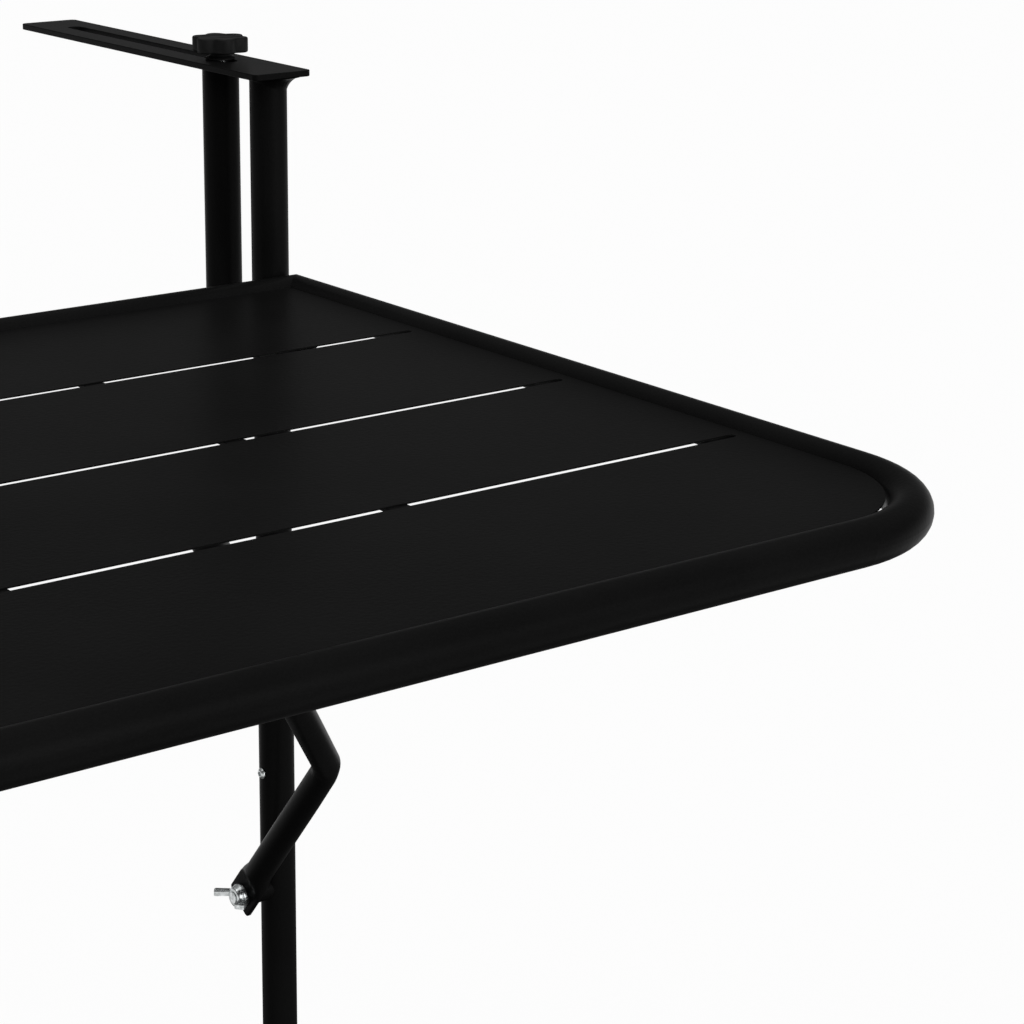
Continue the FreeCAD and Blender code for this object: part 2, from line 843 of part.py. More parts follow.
# Brace: one tube with flattened ends. Its own Y runs up the slope, its X across the table
def make_brace():
    body = new_body("brace_tube", 0.0, post_y, brace_bolt_z)
    turn_to(body, ALONG_X, 90 + S.brace_lean)
    turn = S.brace_turn
    low = S.brace_bend_low
    high = S.brace_bend_high
    low_cut = low * tangent(turn / 2)
    high_cut = high * tangent(45 - turn / 2)
    across = sine(turn)
    along = cosine(turn)
    cross_x = paddle_x - (cross_rise - S.brace_leg) * tangent(turn)
    path = new_sketch(body, "XY_Plane", "path")
    half_route = [
        (paddle_x, S.paddle_neck),
        (paddle_x, S.brace_leg - low_cut),
        (paddle_x - low_cut * across, S.brace_leg + low_cut * along, low),
        (cross_x + high_cut * across, cross_rise - high_cut * along),
        (cross_x - high_cut, cross_rise, high),
    ]
    other_half = [
        (-half_route[4][0], cross_rise),
        (-half_route[3][0], half_route[3][1], high),
        (-half_route[2][0], half_route[2][1]),
        (-paddle_x, half_route[1][1], low),
        (-paddle_x, S.paddle_neck),
    ]
    trace(path, half_route + other_half, closed=False)
    ring = new_sketch(body, "XZ_Plane", "ring", offset=-S.paddle_neck)
    circle(ring, brace_r, paddle_x)
    circle(ring, brace_r - S.brace_wall, paddle_x)
    sweep(body, ring, path)

    thick = S.paddle_thickness / 2
    wide = S.paddle_width / 2
    flat = new_sketch(body, "XZ_Plane", "flat", offset=-paddle_flat)
    trace(flat, box_points(paddle_x - thick, paddle_x + thick, -wide, wide))
    reach = brace_r * math.sqrt(0.5)
    full = new_sketch(body, "XZ_Plane", "round", offset=-S.paddle_neck)
    trace(full, [
        (paddle_x - reach, -reach, brace_r),
        (paddle_x + reach, -reach, brace_r),
        (paddle_x + reach, reach, brace_r),
        (paddle_x - reach, reach, brace_r),
    ])
    neck = loft(body, flat, full)
    end = new_sketch(body, "YZ_Plane", "end", offset=paddle_x)
    corner = S.paddle_corner
    trace(end, [
        (paddle_flat, -wide),
        (paddle_flat, wide),
        (-S.paddle_end + corner, wide),
        (-S.paddle_end, wide - corner, corner),
        (-S.paddle_end, -wide + corner),
        (-S.paddle_end + corner, -wide, corner),
    ])
    paddle = pad(body, end, S.paddle_thickness, symmetric=True)
    doc.recompute()
    hole = new_sketch(body, "YZ_Plane", "hole", offset=paddle_x)
    circle(hole, S.brace_bolt_dia / 2 + S.running_fit)
    bore = pocket(body, hole, 4 * S.paddle_thickness)
    mirror_in_body(body, [neck, paddle, bore])
    return body


# Lower pivots: bolt, spacer, washer and wing nut at each end of the brace
def make_brace_bolt(side):
    # Its flat head is inside the post, so the post's outer face stays clean
    body = new_body(f"{SIDE_NAMES[side]}_brace_bolt", side * post_x, post_y, brace_bolt_z)
    head_r = S.bolt_head_dia / 2
    bore = post_r - S.post_wall - S.sleeve_fit
    seat = root(bore * bore - head_r * head_r)
    tip = wing_seat + S.wing_body_height + S.wing_bolt_tip
    head = new_sketch(body, "YZ_Plane", "head", offset=-side * seat)
    circle(head, head_r)
    pad(body, head, S.bolt_head_height, reverse=side == LEFT)
    shank = new_sketch(body, "YZ_Plane", "shank", offset=-side * seat)
    circle(shank, S.brace_bolt_dia / 2)
    pad(body, shank, tip - seat, reverse=side == RIGHT)
    return body


def make_spacer(side):
    body = new_body(f"{SIDE_NAMES[side]}_brace_spacer", side * post_x, post_y, brace_bolt_z)
    start = S.brace_offset - S.paddle_thickness / 2 - S.face_gap
    ring = new_sketch(body, "YZ_Plane", "ring", offset=-side * start)
    circle(ring, S.spacer_dia / 2)
    circle(ring, S.brace_bolt_dia / 2)
    pad(body, ring, start - post_r / 2, reverse=side == LEFT)
    saddle = new_sketch(body, "XY_Plane", "saddle")
    circle(saddle, post_r)
    pocket(body, saddle, 2 * S.spacer_dia)
    return body


def make_washer(side):
    body = new_body(f"{SIDE_NAMES[side]}_brace_washer", side * post_x, post_y, brace_bolt_z)
    ring = new_sketch(body, "YZ_Plane", "ring", offset=-side * washer_seat)
    circle(ring, S.washer_dia / 2)
    circle(ring, S.brace_bolt_dia / 2 + S.running_fit)
    pad(body, ring, S.washer_thickness, reverse=side == RIGHT)
    return body


def make_wing_nut(side):
    # Tapered body with two wings, one to the back and one to the front
    body = new_body(
        f"{SIDE_NAMES[side]}_wing_nut", side * (post_x - wing_seat), post_y, brace_bolt_z)
    turn_to(body, ALONG_X, S.wing_turn)
    base = S.wing_base_dia / 2
    top = S.wing_top_dia / 2
    bore = S.brace_bolt_dia / 2 + S.running_fit
    tall = S.wing_body_height
    profile = new_sketch(body, "XZ_Plane", "profile")
    trace(profile, [
        (0, bore),
        (0, base),
        (-side * tall, top),
        (-side * tall, bore),
    ])
    revolve(body, profile, "H_Axis")
    rise = sine(S.wing_spread)
    out = cosine(S.wing_spread)
    half = S.wing_width / 2
    inner = bore + S.wing_wall
    far_edge = S.wing_foot - half * out
    near_edge = S.wing_foot + half * out
    tip_height = S.wing_foot + S.wing_length * rise
    tip_out = S.wing_root + S.wing_length * out
    wing = new_sketch(body, "XY_Plane", "wing")
    trace(wing, [
        (-side * far_edge, inner),
        (-side * far_edge, S.wing_root + half * rise),
        (-side * (tip_height - half * out), tip_out + half * rise),
        (-side * (tip_height + half * out), tip_out - half * rise),
        (-side * near_edge, S.wing_root - half * rise),
        (-side * (tall - S.face_gap), inner),
    ])
    blade = pad(body, wing, S.wing_thickness, symmetric=True)
    polar_in_body(body, [blade], 2, "X_Axis")
    return body


make_rim_tube()
make_back_tube()
make_panel()
make_strip("right_support_strip", S.strip_offset, S.strip_width)
make_strip("left_support_strip", -S.strip_offset, S.strip_width)
make_strip("centre_support_strip", 0.0, S.strip_centre_width)
make_brace()
for side in (RIGHT, LEFT):
    name = SIDE_NAMES[side]
    make_seat(side)
    make_upper_post(side)
    make_lower_post(side)
    make_sleeve(side)
    make_sleeve_screw(side)
    make_cap(f"{name}_post_foot", side * post_x, post_y, S.cap_height - S.post_reach)
    make_hook_plate(side)
    make_hook_weld(side)
    make_rear_leg(side)
    make_leg_insert(side)
    make_cap(f"{name}_leg_cap", side * post_x, leg_y, -S.face_gap - S.leg_length)
    make_star_knob(side)
    make_knob_stud(side)
    make_hinge_bracket(side)
    make_hinge_lug(side)
    make_hinge_bolt(side)
    make_hinge_nut(side)
    make_brace_bolt(side)
    make_spacer(side)
    make_washer(side)
    make_wing_nut(side)

doc.recompute()

faults = []
for item in doc.Objects:
    if "Invalid" in item.State or "Error" in item.State:
        faults.append(f"{item.Name}: {item.State}")
for item in sub_parts:
    if item.Shape.isNull() or not item.Shape.isValid():
        faults.append(f"{item.Label}: no valid shape")
if faults:
    raise ValueError("\n".join(faults))

os.makedirs("parts", exist_ok=True)
for item in sub_parts:
    item.Shape.exportStep(f"parts/{item.Label}.step")
print(f"{len(sub_parts)} sub-parts written")
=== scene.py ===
# %% [markdown]
# # Balcony railing bar table
# A folding tabletop hangs on a balcony railing by two flat hook plates. This lesson takes the
# table's solid model as a fixed frame, gives each part its real finish, and builds again the
# parts whose rounded, pressed or cast shapes a plain solid doesn't show.

# %% Load the solid model
import json
import math

import bmesh
import bpy
from mathutils import Matrix, Vector


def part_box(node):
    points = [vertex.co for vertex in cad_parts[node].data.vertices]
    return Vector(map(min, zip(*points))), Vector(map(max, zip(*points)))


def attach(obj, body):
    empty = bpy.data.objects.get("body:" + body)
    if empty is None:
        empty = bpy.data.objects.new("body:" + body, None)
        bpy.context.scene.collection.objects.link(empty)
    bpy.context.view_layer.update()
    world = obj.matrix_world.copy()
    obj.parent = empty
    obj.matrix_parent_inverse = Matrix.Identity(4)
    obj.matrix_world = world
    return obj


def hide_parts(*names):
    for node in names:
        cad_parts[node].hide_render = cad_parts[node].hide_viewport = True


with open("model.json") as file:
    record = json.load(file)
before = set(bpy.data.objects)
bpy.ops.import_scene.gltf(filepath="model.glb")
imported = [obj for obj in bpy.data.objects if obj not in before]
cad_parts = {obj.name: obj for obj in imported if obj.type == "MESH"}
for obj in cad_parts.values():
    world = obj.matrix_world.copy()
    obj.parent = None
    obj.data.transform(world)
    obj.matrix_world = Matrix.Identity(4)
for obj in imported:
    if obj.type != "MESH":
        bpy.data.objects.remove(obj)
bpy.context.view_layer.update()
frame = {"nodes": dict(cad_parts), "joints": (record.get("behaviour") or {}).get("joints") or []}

MM = 0.001
SIDES = {"right": 1, "left": -1}
nodes = frame["nodes"]

# %% [markdown]
# ## Camera
# The table is seen from in front and to the left, from a little above its hook plates, with a
# long lens. The picture shows its right half, so the camera looks past the left half.
# Blender's own camera angles start from looking straight down, which is hard to picture. So the
# camera's three directions, to its right, up, and back from what it sees, are worked out from
# its bearing, its tilt and its roll.

# %% Camera
CAMERA_PLACE = Vector((-0.3473, -0.9964, 0.1710))
YAW, PITCH, ROLL = (math.radians(a) for a in (38.114, -15.429, 0.598))

forward = Vector((math.sin(YAW) * math.cos(PITCH), math.cos(YAW) * math.cos(PITCH), math.sin(PITCH)))
level = Vector((math.cos(YAW), -math.sin(YAW), 0))
upright = level.cross(forward)
to_right = level * math.cos(ROLL) + upright * math.sin(ROLL)
to_top = upright * math.cos(ROLL) - level * math.sin(ROLL)
facing = Matrix((to_right, to_top, -forward)).transposed().to_4x4()

lens = bpy.data.cameras.new("camera")
lens.lens = 99.83
lens.sensor_width = 36
lens.shift_y = -0.08
lens.clip_start = 0.05
camera = bpy.data.objects.new("camera", lens)
camera.matrix_world = Matrix.Translation(CAMERA_PLACE) @ facing
bpy.context.scene.collection.objects.link(camera)
bpy.context.scene.camera = camera
bpy.context.scene.view_settings.view_transform = "Standard"
print("camera", [round(v, 3) for v in camera.location], "lens", lens.lens, "mm")

# %% [markdown]
# ## Node helpers
# Colours are written as the eye knows them, in hex, and are turned to the linear light that a
# shader works in. One small function adds a node, sets its values and joins its inputs. An
# input goes by its name, with _ for a space, or by its number, as in i0.

# %% Node helpers
def linear(code):
    parts = [int(code[i:i + 2], 16) / 255 for i in (1, 3, 5)]
    return [c / 12.92 if c <= 0.04045 else ((c + 0.055) / 1.055) ** 2.4 for c in parts] + [1.0]


def add(tree, kind, settings=None, stops=(), **inputs):
    # The stops are a colour ramp's places and colours, from left to right
    node = tree.nodes.new("ShaderNode" + kind)
    for key, value in (settings or {}).items():
        setattr(node, key, value)
    for number, (place, code) in enumerate(stops):
        elements = node.color_ramp.elements
        stop = elements[number] if number < 2 else elements.new(place)
        stop.position = place
        stop.color = linear(code)
    for key, value in inputs.items():
        by_number = key[0] == "i" and key[1:].isdigit()
        socket = node.inputs[int(key[1:]) if by_number else key.replace("_", " ")]
        if isinstance(value, bpy.types.NodeSocket):
            tree.links.new(value, socket)
        else:
            socket.default_value = value
    return node


def new_material(name):
    material = bpy.data.materials.new(name)
    material.use_nodes = True
    tree = material.node_tree
    tree.nodes.clear()
    return material, tree


def per_mm(size):
    # Noise cells of about this many millimetres
    return 1 / (size * MM)


# %% [markdown]
# ## Satin black powder coat
# The steel is sprayed with black polyester powder that is baked until it flows. It dries to a
# satin skin with a very fine orange peel, a millimetre or so from dimple to dimple and only
# some microns deep, and its gloss wanders a little where the film is thicker. The peel is drawn
# deeper than it is, because the real one is too fine to show.
# Its pigment is almost black. A white studio would lay a grey veil on it at low angles, so the
# sheen is kept far weaker than that of bare plastic, as the eye sees it on the real coat.

# %% Satin black powder coat
FILM_CELL, PEEL_CELL, GRAIN_CELL = 60, 1.6, 0.6
PEEL_HEIGHT = 0.05 * MM
FILM_SWING = 0.015


def make_powder_coat(name, dark, pale, roughness):
    material, tree = new_material(name)
    place = add(tree, "TexCoord").outputs["Object"]
    film = add(tree, "TexNoise", Vector=place, Scale=per_mm(FILM_CELL), Detail=3.0, Roughness=0.5)
    grain = add(tree, "TexNoise", Vector=place, Scale=per_mm(GRAIN_CELL), Detail=2.0, Roughness=0.6)
    peel = add(tree, "TexNoise", Vector=place, Scale=per_mm(PEEL_CELL), Detail=2.0, Roughness=0.4)
    half = add(tree, "Math", {"operation": "MULTIPLY"}, i0=grain.outputs[0], i1=0.5)
    both = add(tree, "Math", {"operation": "MULTIPLY_ADD"}, i0=film.outputs[0], i1=0.5, i2=half.outputs[0])
    colour = add(tree, "ValToRGB", stops=((0.3, dark), (0.7, pale)), Fac=both.outputs[0])
    gloss = add(tree, "MapRange", Value=film.outputs[0], From_Min=0.3, From_Max=0.7,
                To_Min=roughness - FILM_SWING, To_Max=roughness + FILM_SWING)
    bump = add(tree, "Bump", Height=peel.outputs[0], Distance=PEEL_HEIGHT, Strength=1.0)
    shader = add(tree, "BsdfPrincipled", Base_Color=colour.outputs[0], Roughness=gloss.outputs[0],
                 Normal=bump.outputs[0], IOR=1.5, Metallic=0.0, Specular_IOR_Level=0.02)
    add(tree, "OutputMaterial", Surface=shader.outputs[0])
    print(name, "has", len(tree.nodes), "nodes")
    return material


satin_black_powder_coat = make_powder_coat("satin_black_powder_coat", "#0b0b0b", "#141414", 0.36)

# %% [markdown]
# ## Bright zinc plating
# The screws, nuts and bolts are steel with a thin layer of zinc, brightened in the bath. It is
# a pale, slightly blue metal with cloudy patches a millimetre or two across, and faint
# scratches from the tumbling drum blur what it mirrors.

# %% Bright zinc plating
CLOUD_CELL, SCRATCH_CELL = 1.8, 0.35
SCRATCH_HEIGHT = 0.01 * MM
CLOUDY, CLEAR = 0.08, 0.05


def make_zinc_plating(name, dark, pale, roughness):
    material, tree = new_material(name)
    place = add(tree, "TexCoord").outputs["Object"]
    cloud = add(tree, "TexNoise", Vector=place, Scale=per_mm(CLOUD_CELL), Detail=4.0, Roughness=0.6)
    scratch = add(tree, "TexNoise", Vector=place, Scale=per_mm(SCRATCH_CELL), Detail=2.0, Roughness=0.6)
    colour = add(tree, "ValToRGB", stops=((0.35, dark), (0.65, pale)), Fac=cloud.outputs[0])
    gloss = add(tree, "MapRange", Value=cloud.outputs[0], From_Min=0.3, From_Max=0.7,
                To_Min=roughness + CLOUDY, To_Max=roughness - CLEAR)
    bump = add(tree, "Bump", Height=scratch.outputs[0], Distance=SCRATCH_HEIGHT, Strength=1.0)
    shader = add(tree, "BsdfPrincipled", Base_Color=colour.outputs[0], Roughness=gloss.outputs[0],
                 Normal=bump.outputs[0], Metallic=1.0)
    add(tree, "OutputMaterial", Surface=shader.outputs[0])
    print(name, "has", len(tree.nodes), "nodes")
    return material


bright_zinc_plating = make_zinc_plating("bright_zinc_plating", "#b2b6b5", "#e4e7e8", 0.28)

# %% [markdown]
# ## Fine matt black moulding
# The star knobs and the end caps are injection moulded polypropylene. The steel mould was
# spark eroded, which leaves an even, fine grain of about a third of a millimetre, and the
# plastic's flow in the mould leaves a slow drift in its black.

# %% Fine matt black moulding
FLOW_CELL, SPARK_CELL = 9, 0.35
SPARK_HEIGHT = 0.02 * MM
SPARK_SWING = 0.05


def make_moulding(name, dark, pale, roughness):
    material, tree = new_material(name)
    place = add(tree, "TexCoord").outputs["Object"]
    spark = add(tree, "TexNoise", Vector=place, Scale=per_mm(SPARK_CELL), Detail=2.0, Roughness=0.7)
    flow = add(tree, "TexNoise", Vector=place, Scale=per_mm(FLOW_CELL), Detail=2.0, Roughness=0.5)
    colour = add(tree, "ValToRGB", stops=((0.35, dark), (0.65, pale)), Fac=flow.outputs[0])
    gloss = add(tree, "MapRange", Value=spark.outputs[0], From_Min=0.3, From_Max=0.7,
                To_Min=roughness - SPARK_SWING, To_Max=roughness + SPARK_SWING)
    bump = add(tree, "Bump", Height=spark.outputs[0], Distance=SPARK_HEIGHT, Strength=1.0)
    shader = add(tree, "BsdfPrincipled", Base_Color=colour.outputs[0], Roughness=gloss.outputs[0],
                 Normal=bump.outputs[0], IOR=1.49, Metallic=0.0, Specular_IOR_Level=0.08)
    add(tree, "OutputMaterial", Surface=shader.outputs[0])
    print(name, "has", len(tree.nodes), "nodes")
    return material


matt_black_moulding = make_moulding("matt_black_moulding", "#131313", "#1a1a1a", 0.5)

# %% [markdown]
# ## Finishes on the solid parts
# Every solid part keeps its shape and takes the finish of its kind. The tubes, posts and legs
# are plain round steel, so they need no more than that.

# %% Finishes on the solid parts
FINISHES = {
    "black_powder_coat": satin_black_powder_coat,
    "zinc_plated_steel": bright_zinc_plating,
    "black_plastic": matt_black_moulding,
}
slot_of = {}
for name, node in nodes.items():
    slot_of[name] = node.data.materials[0].name.split(".")[0]
    node.data.materials[0] = FINISHES[slot_of[name]]
print({slot: list(slot_of.values()).count(slot) for slot in FINISHES})

# %% [markdown]
# ## Places on the table
# A new piece is made in millimetres round its own axis, and is then set where the solid model
# has the same part. The places could be written down once more, but they are taken from the
# joints and from the solid parts' boxes, so that they can't disagree. They are read on the right
# side, and the left side mirrors them.

# %% Places on the table
joint_places = {j["name"]: Vector(j["pos_m"]) / MM for j in frame["joints"] if "pos_m" in j}
pivot = joint_places["right_wing_turn"]
knob = joint_places["right_knob_turn"]
hinge = joint_places["tabletop_fold"]


def corners_of(node_name):
    low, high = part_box(node_name)
    return low / MM, high / MM


def on_side(side, x, y, z):
    return Matrix.Translation((side * x, y, z))


post_low, post_high = corners_of("right_lower_post")
post_radius = (post_high.x - post_low.x) / 2
print("post at", round(knob.x, 2), round(pivot.y, 2), "radius", round(post_radius, 2), "mm")
print("brace pivot", [round(v, 2) for v in pivot], "tabletop hinge", [round(v, 2) for v in hinge])

# %% [markdown]
# ## Helpers for new pieces
# Ready-made cylinders and cones leave seams where they meet. So a tube is grown from one ring,
# which is extruded along straight runs and spun round bends, and a turned part is one outline
# spun round its axis. At the end a piece's doubles are merged, its faces are turned outwards,
# and its mesh is scaled to metres in its place on the table.

# %% Rings that grow into tubes
def edges_of(verts):
    inside = set(verts)
    return [e for e in {e for v in verts for e in v.link_edges} if inside.issuperset(e.verts)]


def new_ring(bm, radius, segments, place=Matrix.Identity(4)):
    made = bmesh.ops.create_circle(bm, segments=segments, radius=radius, matrix=place)
    return made["verts"]


def middle_of(ring):
    return sum((v.co for v in ring), Vector()) / len(ring)


def grow(bm, ring, move):
    # Extrudes an open ring and moves the new one; gives its vertices
    made = bmesh.ops.extrude_edge_only(bm, edges=edges_of(ring))["geom"]
    verts = [g for g in made if isinstance(g, bmesh.types.BMVert)]
    bmesh.ops.translate(bm, verts=verts, vec=move)
    return verts


def grow_straight(bm, ring, move, steps):
    for step in range(steps):
        ring = grow(bm, ring, move / steps)
    return ring


def bend(bm, ring, centre, angle, steps):
    # Spins an open ring round an upright axis; gives the last ring's vertices
    made = bmesh.ops.spin(bm, geom=list(ring) + edges_of(ring), cent=centre, axis=(0, 0, 1),
                          angle=angle, steps=steps, use_merge=False, use_duplicate=False)
    return [g for g in made["geom_last"] if isinstance(g, bmesh.types.BMVert)]


# %% Outlines spun round an axis
TURN_STEPS = 48


def turned(bm, profile, steps=TURN_STEPS):
    # Spins an outline in the XZ plane round the Z axis; one that stays off the axis is closed
    verts = [bm.verts.new((x, 0, z)) for x, z in profile]
    pairs = list(zip(verts, verts[1:]))
    if profile[0][0] > 0:
        pairs.append((verts[-1], verts[0]))
    edges = [bm.edges.new(pair) for pair in pairs]
    bmesh.ops.spin(bm, geom=verts + edges, cent=(0, 0, 0), axis=(0, 0, 1),
                   angle=math.tau, steps=steps, use_merge=True, use_duplicate=False)


# %% Handing over a piece
MERGE, NEAR = 0.001, 0.01


def hand_over(bm, name, body, slot, node_name, crease):
    # Makes the finished mesh a smooth-shaded piece that rides on its body
    data = bpy.data.meshes.new(name)
    bm.to_mesh(data)
    bm.free()
    data.polygons.foreach_set("use_smooth", [True] * len(data.polygons))
    data.set_sharp_from_angle(angle=math.radians(crease))
    data.materials.append(FINISHES[slot])
    piece = bpy.data.objects.new(name, data)
    bpy.context.scene.collection.objects.link(piece)
    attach(piece, body)
    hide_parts(node_name)
    size = piece.dimensions / MM
    print(f"{name}: {len(data.polygons)} faces, {size.x:.1f} x {size.y:.1f} x {size.z:.1f} mm")


def finish_piece(bm, name, body, slot, node_name, place, crease=35):
    # Merges, faces outwards, puts in place and scales to metres
    bmesh.ops.remove_doubles(bm, verts=bm.verts, dist=MERGE)
    bmesh.ops.recalc_face_normals(bm, faces=bm.faces)
    bmesh.ops.transform(bm, matrix=Matrix.Scale(MM, 4) @ place, verts=bm.verts)
    hand_over(bm, name, body, slot, node_name, crease)


# %% [markdown]
# ## Softened copies of solid parts
# Cut and folded steel has no knife edges. A Bevel modifier could round them, but the solid
# model's meshes are loose triangles, so a copy is merged into whole faces first, and its sharp
# edges are then bevelled in the same mesh.

# %% Softened copies of solid parts
COPY_MERGE = 0.002 * MM
FLAT_ENOUGH, SHARP_ENOUGH = math.radians(1), math.radians(30)
SOFT_CREASE = 20


def softened(node_name, name, body, width, reshape=None):
    bm = bmesh.new()
    bm.from_mesh(nodes[node_name].data)
    bmesh.ops.remove_doubles(bm, verts=bm.verts, dist=COPY_MERGE)
    bmesh.ops.dissolve_limit(bm, angle_limit=FLAT_ENOUGH, verts=bm.verts, edges=bm.edges)
    if reshape:
        reshape(bm)
    sharp = [e for e in bm.edges if e.is_manifold and e.calc_face_angle(0) > SHARP_ENOUGH]
    bmesh.ops.bevel(bm, geom=sharp, offset=width * MM, segments=2, profile=0.5,
                    affect="EDGES", material=-1, clamp_overlap=True)
    bmesh.ops.recalc_face_normals(bm, faces=bm.faces)
    hand_over(bm, name, body, slot_of[node_name], node_name, SOFT_CREASE)


# %% [markdown]
# ## Brace
# One steel tube of 12.3 mm, bent twice on each side: a tight bend above the lower pivot, where
# the wall gives and the tube goes a little flat on the outside, and a wider bend into the cross
# bar under the sheet. Each end is pressed flat in a die round the pivot's bolt.
# A bevelled curve would give the tube, but not its pressed ends. So it is grown in the brace's
# own plane, X across the table and Y up its slope, from a ring at the neck: upwards through the
# bends for the tube, downwards step by step for the pressed end. One half is made and mirrored.

# %% Brace sizes
BRACE_RADIUS = 6.15
BRACE_LEAN, BRACE_TURN = math.radians(38.95), math.radians(33.8)
LOW_BEND, HIGH_BEND, LEG_RUN, CROSS_RISE = 20.0, 30.0, 105.7, 344.41
NECK, FLAT_TOP, PADDLE_END = 20.0, 8.0, 5.4
PADDLE_WIDE, PADDLE_THICK, PADDLE_CORNER = 16.8, 2.4, 1.0
WASHER_GAP = 0.1
paddle_x = corners_of("right_brace_washer")[1].x + WASHER_GAP + PADDLE_THICK / 2
side_run = (CROSS_RISE - LEG_RUN) / math.cos(BRACE_TURN)
up_the_slope = Matrix.Rotation(math.radians(90) + BRACE_LEAN, 4, "X")
brace_plane = Matrix.Translation((0, pivot.y, pivot.z)) @ up_the_slope
print("brace rises", CROSS_RISE, "mm up its slope; sloping run", round(side_run, 1), "mm")


# %% Tube with two bends
TUBE_SEGMENTS = 40
LEG_STEPS, LOW_STEPS, SLOPE_STEPS, HIGH_STEPS, CROSS_STEPS = 4, 10, 8, 16, 4


def grow_tube(bm, ring):
    low_cut = LOW_BEND * math.tan(BRACE_TURN / 2)
    high_cut = HIGH_BEND * math.tan((math.pi / 2 - BRACE_TURN) / 2)
    ring = grow_straight(bm, ring, Vector((0, LEG_RUN - low_cut - NECK, 0)), LEG_STEPS)
    ring = bend(bm, ring, (paddle_x - LOW_BEND, LEG_RUN - low_cut, 0), BRACE_TURN, LOW_STEPS)
    slope = Vector((-math.sin(BRACE_TURN), math.cos(BRACE_TURN), 0))
    ring = grow_straight(bm, ring, slope * (side_run - low_cut - high_cut), SLOPE_STEPS)
    inward = Vector((-math.cos(BRACE_TURN), -math.sin(BRACE_TURN), 0))
    centre = middle_of(ring) + inward * HIGH_BEND
    ring = bend(bm, ring, centre, math.pi / 2 - BRACE_TURN, HIGH_STEPS)
    grow_straight(bm, ring, Vector((-middle_of(ring).x, 0, 0)), CROSS_STEPS)


print("bends of", LOW_BEND, "and", HIGH_BEND, "mm at the tube's middle")

# %% Wall that gives on the outside of the tight bend
GIVE_CENTRE, GIVE_LENGTH, GIVE_DEPTH, GIVE = LEG_RUN - 2, 14, 3, 0.12


def eased(share):
    # Starts and ends gently between 0 and 1
    return share * share * (3 - 2 * share)


def flatten_bend(bm):
    corner = Vector((paddle_x, LEG_RUN, 0))
    outward = Vector((math.cos(BRACE_TURN / 2), math.sin(BRACE_TURN / 2), 0))
    for v in bm.verts:
        near = max(0.0, 1 - abs(v.co.y - GIVE_CENTRE) / GIVE_LENGTH)
        reach = (v.co - corner).dot(outward) + GIVE_DEPTH
        if near and reach > 0:
            v.co -= outward * reach * GIVE * eased(near)


print("the wall gives over", 2 * GIVE_LENGTH, "mm of the leg")

# %% Pressed end
ROUND_POWER, FLAT_POWER = 2, 8
PRESS_STEPS, FLAT_STEPS = 12, 4
CORNER_ANGLES = (18, 36, 54, 72, 88)
CUT_THICK = 0.8


def flattened(ring, half_x, half_z, power):
    # Reshapes a round ring; a higher power gives flatter sides
    centre = middle_of(ring)
    for v in ring:
        out = v.co - centre
        angle = math.atan2(out.z, out.x)
        across, along = math.cos(angle), math.sin(angle)
        v.co.x = centre.x + half_x * math.copysign(abs(across) ** (2 / power), across)
        v.co.z = centre.z + half_z * math.copysign(abs(along) ** (2 / power), along)


def press_end(bm, ring):
    # The rings are drawn out round, and each is then given its flattened outline
    outlines = []
    for step in range(1, PRESS_STEPS + 1):
        ring = grow(bm, ring, (0, (FLAT_TOP - NECK) / PRESS_STEPS, 0))
        spread = step / PRESS_STEPS
        half_x = BRACE_RADIUS + (PADDLE_THICK / 2 - BRACE_RADIUS) * eased(spread)
        half_z = BRACE_RADIUS + (PADDLE_WIDE / 2 - BRACE_RADIUS) * spread
        outlines.append((ring, half_x, half_z, ROUND_POWER + (FLAT_POWER - ROUND_POWER) * spread ** 2))
    straight = FLAT_TOP + PADDLE_END - PADDLE_CORNER
    for step in range(FLAT_STEPS):
        ring = grow(bm, ring, (0, -straight / FLAT_STEPS, 0))
        outlines.append((ring, PADDLE_THICK / 2, PADDLE_WIDE / 2, FLAT_POWER))
    depth = 0.0
    for angle in CORNER_ANGLES:
        rise = PADDLE_CORNER * math.sin(math.radians(angle))
        ring = grow(bm, ring, (0, depth - rise, 0))
        depth = rise
        half_z = PADDLE_WIDE / 2 - PADDLE_CORNER * (1 - math.cos(math.radians(angle)))
        thin = CUT_THICK if angle == CORNER_ANGLES[-1] else 1
        outlines.append((ring, PADDLE_THICK / 2 * thin, half_z, FLAT_POWER))
    for outline in outlines:
        flattened(*outline)
    bmesh.ops.contextual_create(bm, geom=edges_of(ring))


print("pressed from", 2 * BRACE_RADIUS, "mm round to", PADDLE_WIDE, "by", PADDLE_THICK, "mm")

# %% Brace tube
def make_brace():
    bm = bmesh.new()
    start = Matrix.Translation((paddle_x, NECK, 0)) @ Matrix.Rotation(math.radians(-90), 4, "X")
    first = new_ring(bm, BRACE_RADIUS, TUBE_SEGMENTS, start)
    grow_tube(bm, first)
    flatten_bend(bm)
    press_end(bm, first)
    half = list(bm.verts) + list(bm.edges) + list(bm.faces)
    bmesh.ops.mirror(bm, geom=half, axis="X", merge_dist=NEAR)
    finish_piece(bm, "brace", "brace", "black_powder_coat", "brace_tube", brace_plane)


make_brace()

# %% [markdown]
# ## Star knobs
# Each knob is a moulded star of six round lobes on a short neck with a flange at its foot. The
# lobes meet in soft valleys, the upper and lower rims are rounded for the fingers, and the top
# is dished a little so that it cools without a sink mark.
# Round rods joined to a disc would leave sharp valleys. So a circle's points are pushed out to
# the lobes, smoothed, filled and extruded, and the rims are bevelled.

